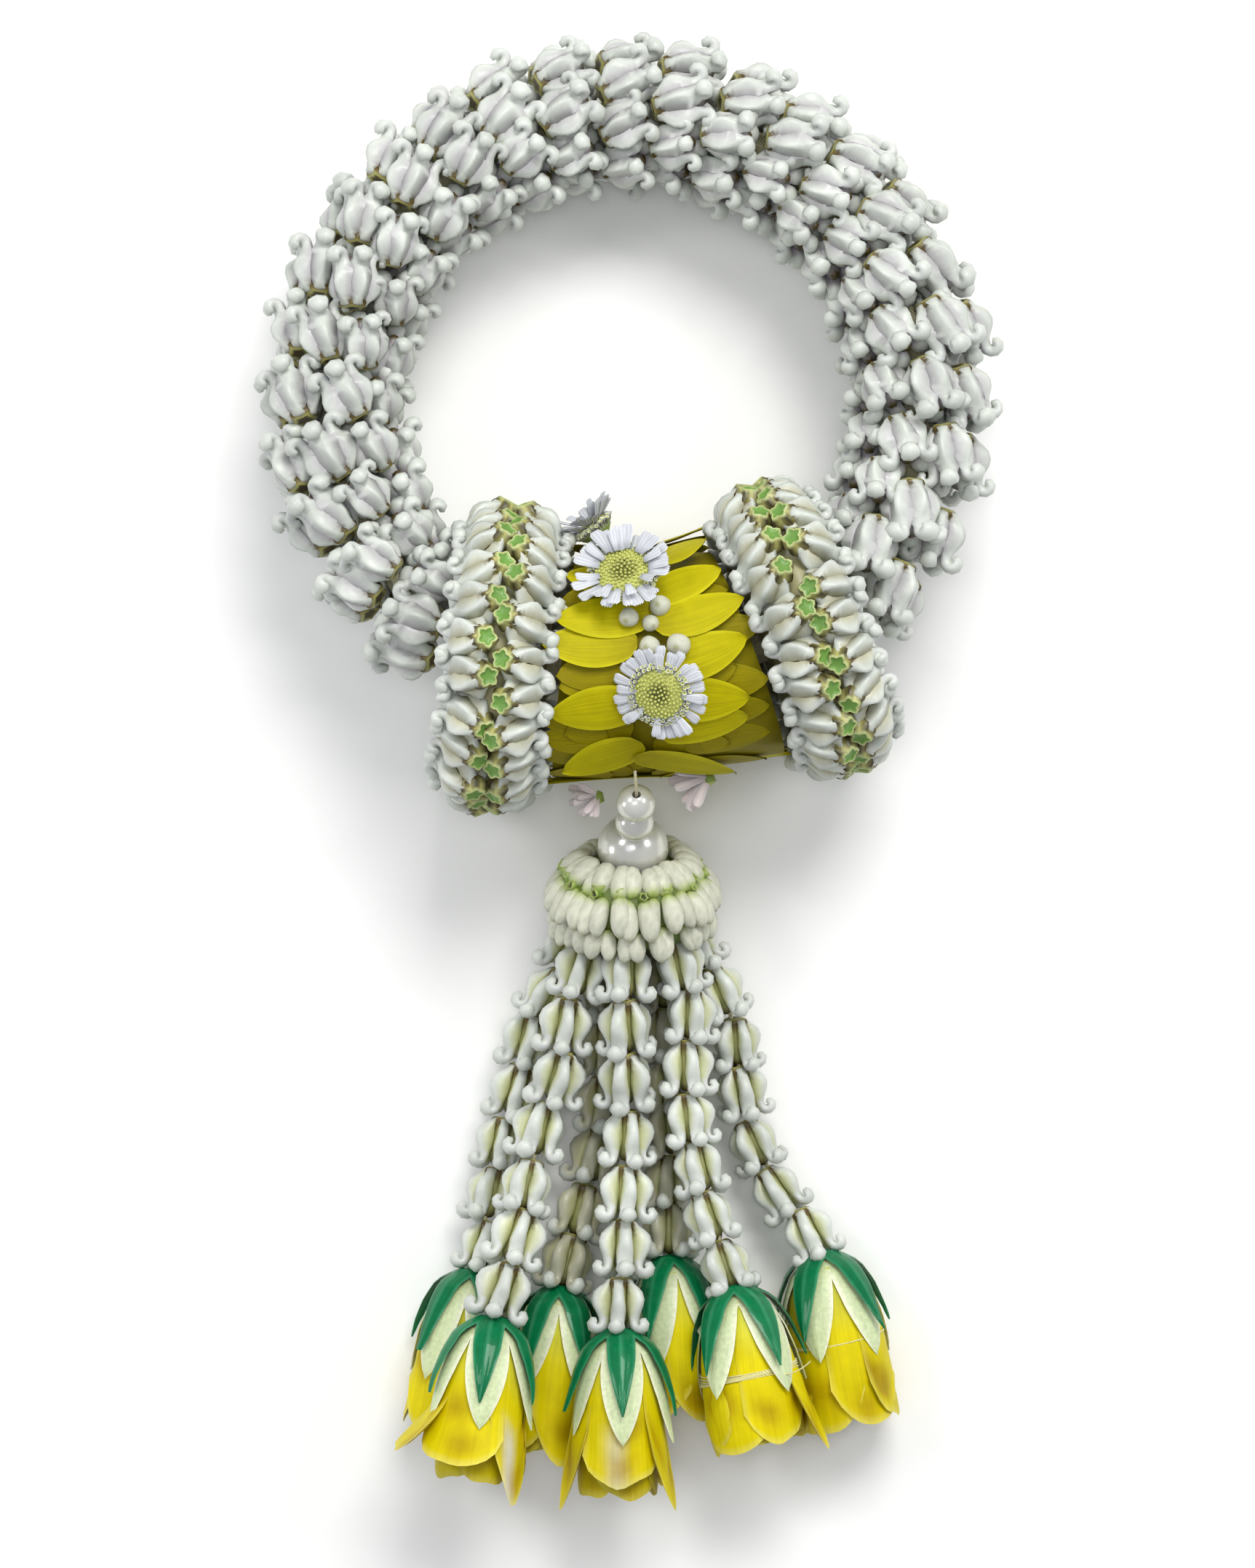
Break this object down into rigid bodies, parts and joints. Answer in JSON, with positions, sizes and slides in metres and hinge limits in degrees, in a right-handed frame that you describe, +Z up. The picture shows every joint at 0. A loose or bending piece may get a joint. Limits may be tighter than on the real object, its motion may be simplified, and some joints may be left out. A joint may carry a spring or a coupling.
{
  "type": "hand garland",
  "caption": "Flower garland that lies flat: a twisted ring of white crown flowers with two collars, a yellow petal band with daisies, pearls, and a tassel ending in yellow rose buds.",
  "frame": {"origin": "on the surface that the garland lies on, under the middle of its box", "axes": "+Z up from the surface, +Y along the garland from the tassel to the far end of the ring, +X to the right as seen from above with the tassel toward the viewer"},
  "size_m": [0.157, 0.3056, 0.0634],
  "materials": {
    "crown_flower": "fleshy white flower, soft satin",
    "cotton": "matte twisted cotton",
    "yellow_petal": "thin petal, soft satin",
    "daisy": "matte white rays, yellow-green disc",
    "pearl": "pearl gloss",
    "jasmine_bud": "waxy flower bud",
    "rose_petal": "soft satin petal",
    "sepal": "matte pale green sepal",
    "green_star": "glossy green leaf strip"
  },
  "bodies": {
    "root": {"bud_cap": "jasmine_bud", "collar_left": "crown_flower", "collar_right": "crown_flower", "daisy_front": "daisy", "daisy_hidden": "daisy", "daisy_inner": "daisy", "daisy_wilted_left": "daisy", "daisy_wilted_right": "daisy", "pearl_large": "pearl", "pearl_middle": "pearl", "pearl_thread": "cotton", "pearl_upper": "pearl", "petal_band": "yellow_petal", "ring_cord": "cotton", "ring_crowns_1": "crown_flower", "ring_crowns_2": "crown_flower", "ring_crowns_3": "crown_flower", "ring_crowns_4": "crown_flower", "ring_crowns_5": "crown_flower", "ring_crowns_6": "crown_flower", "ring_crowns_7": "crown_flower", "ring_crowns_8": "crown_flower", "rose_1_petals": "rose_petal", "rose_1_sepals": "sepal", "rose_1_star": "green_star", "rose_2_petals": "rose_petal", "rose_2_sepals": "sepal", "rose_2_star": "green_star", "rose_3_petals": "rose_petal", "rose_3_sepals": "sepal", "rose_3_star": "green_star", "rose_4_petals": "rose_petal", "rose_4_sepals": "sepal", "rose_4_star": "green_star", "rose_5_petals": "rose_petal", "rose_5_sepals": "sepal", "rose_5_star": "green_star", "rose_6_petals": "rose_petal", "rose_6_sepals": "sepal", "rose_6_star": "green_star", "rose_7_petals": "rose_petal", "rose_7_sepals": "sepal", "rose_7_star": "green_star", "tassel_string_1": "crown_flower", "tassel_string_2": "crown_flower", "tassel_string_3": "crown_flower", "tassel_string_4": "crown_flower", "tassel_string_5": "crown_flower", "tassel_string_6": "crown_flower", "tassel_string_7": "crown_flower", "white_bud_1": "jasmine_bud", "white_bud_2": "jasmine_bud", "white_bud_3": "jasmine_bud", "white_bud_4": "jasmine_bud", "white_bud_5": "jasmine_bud"}
  },
  "joints": []
}
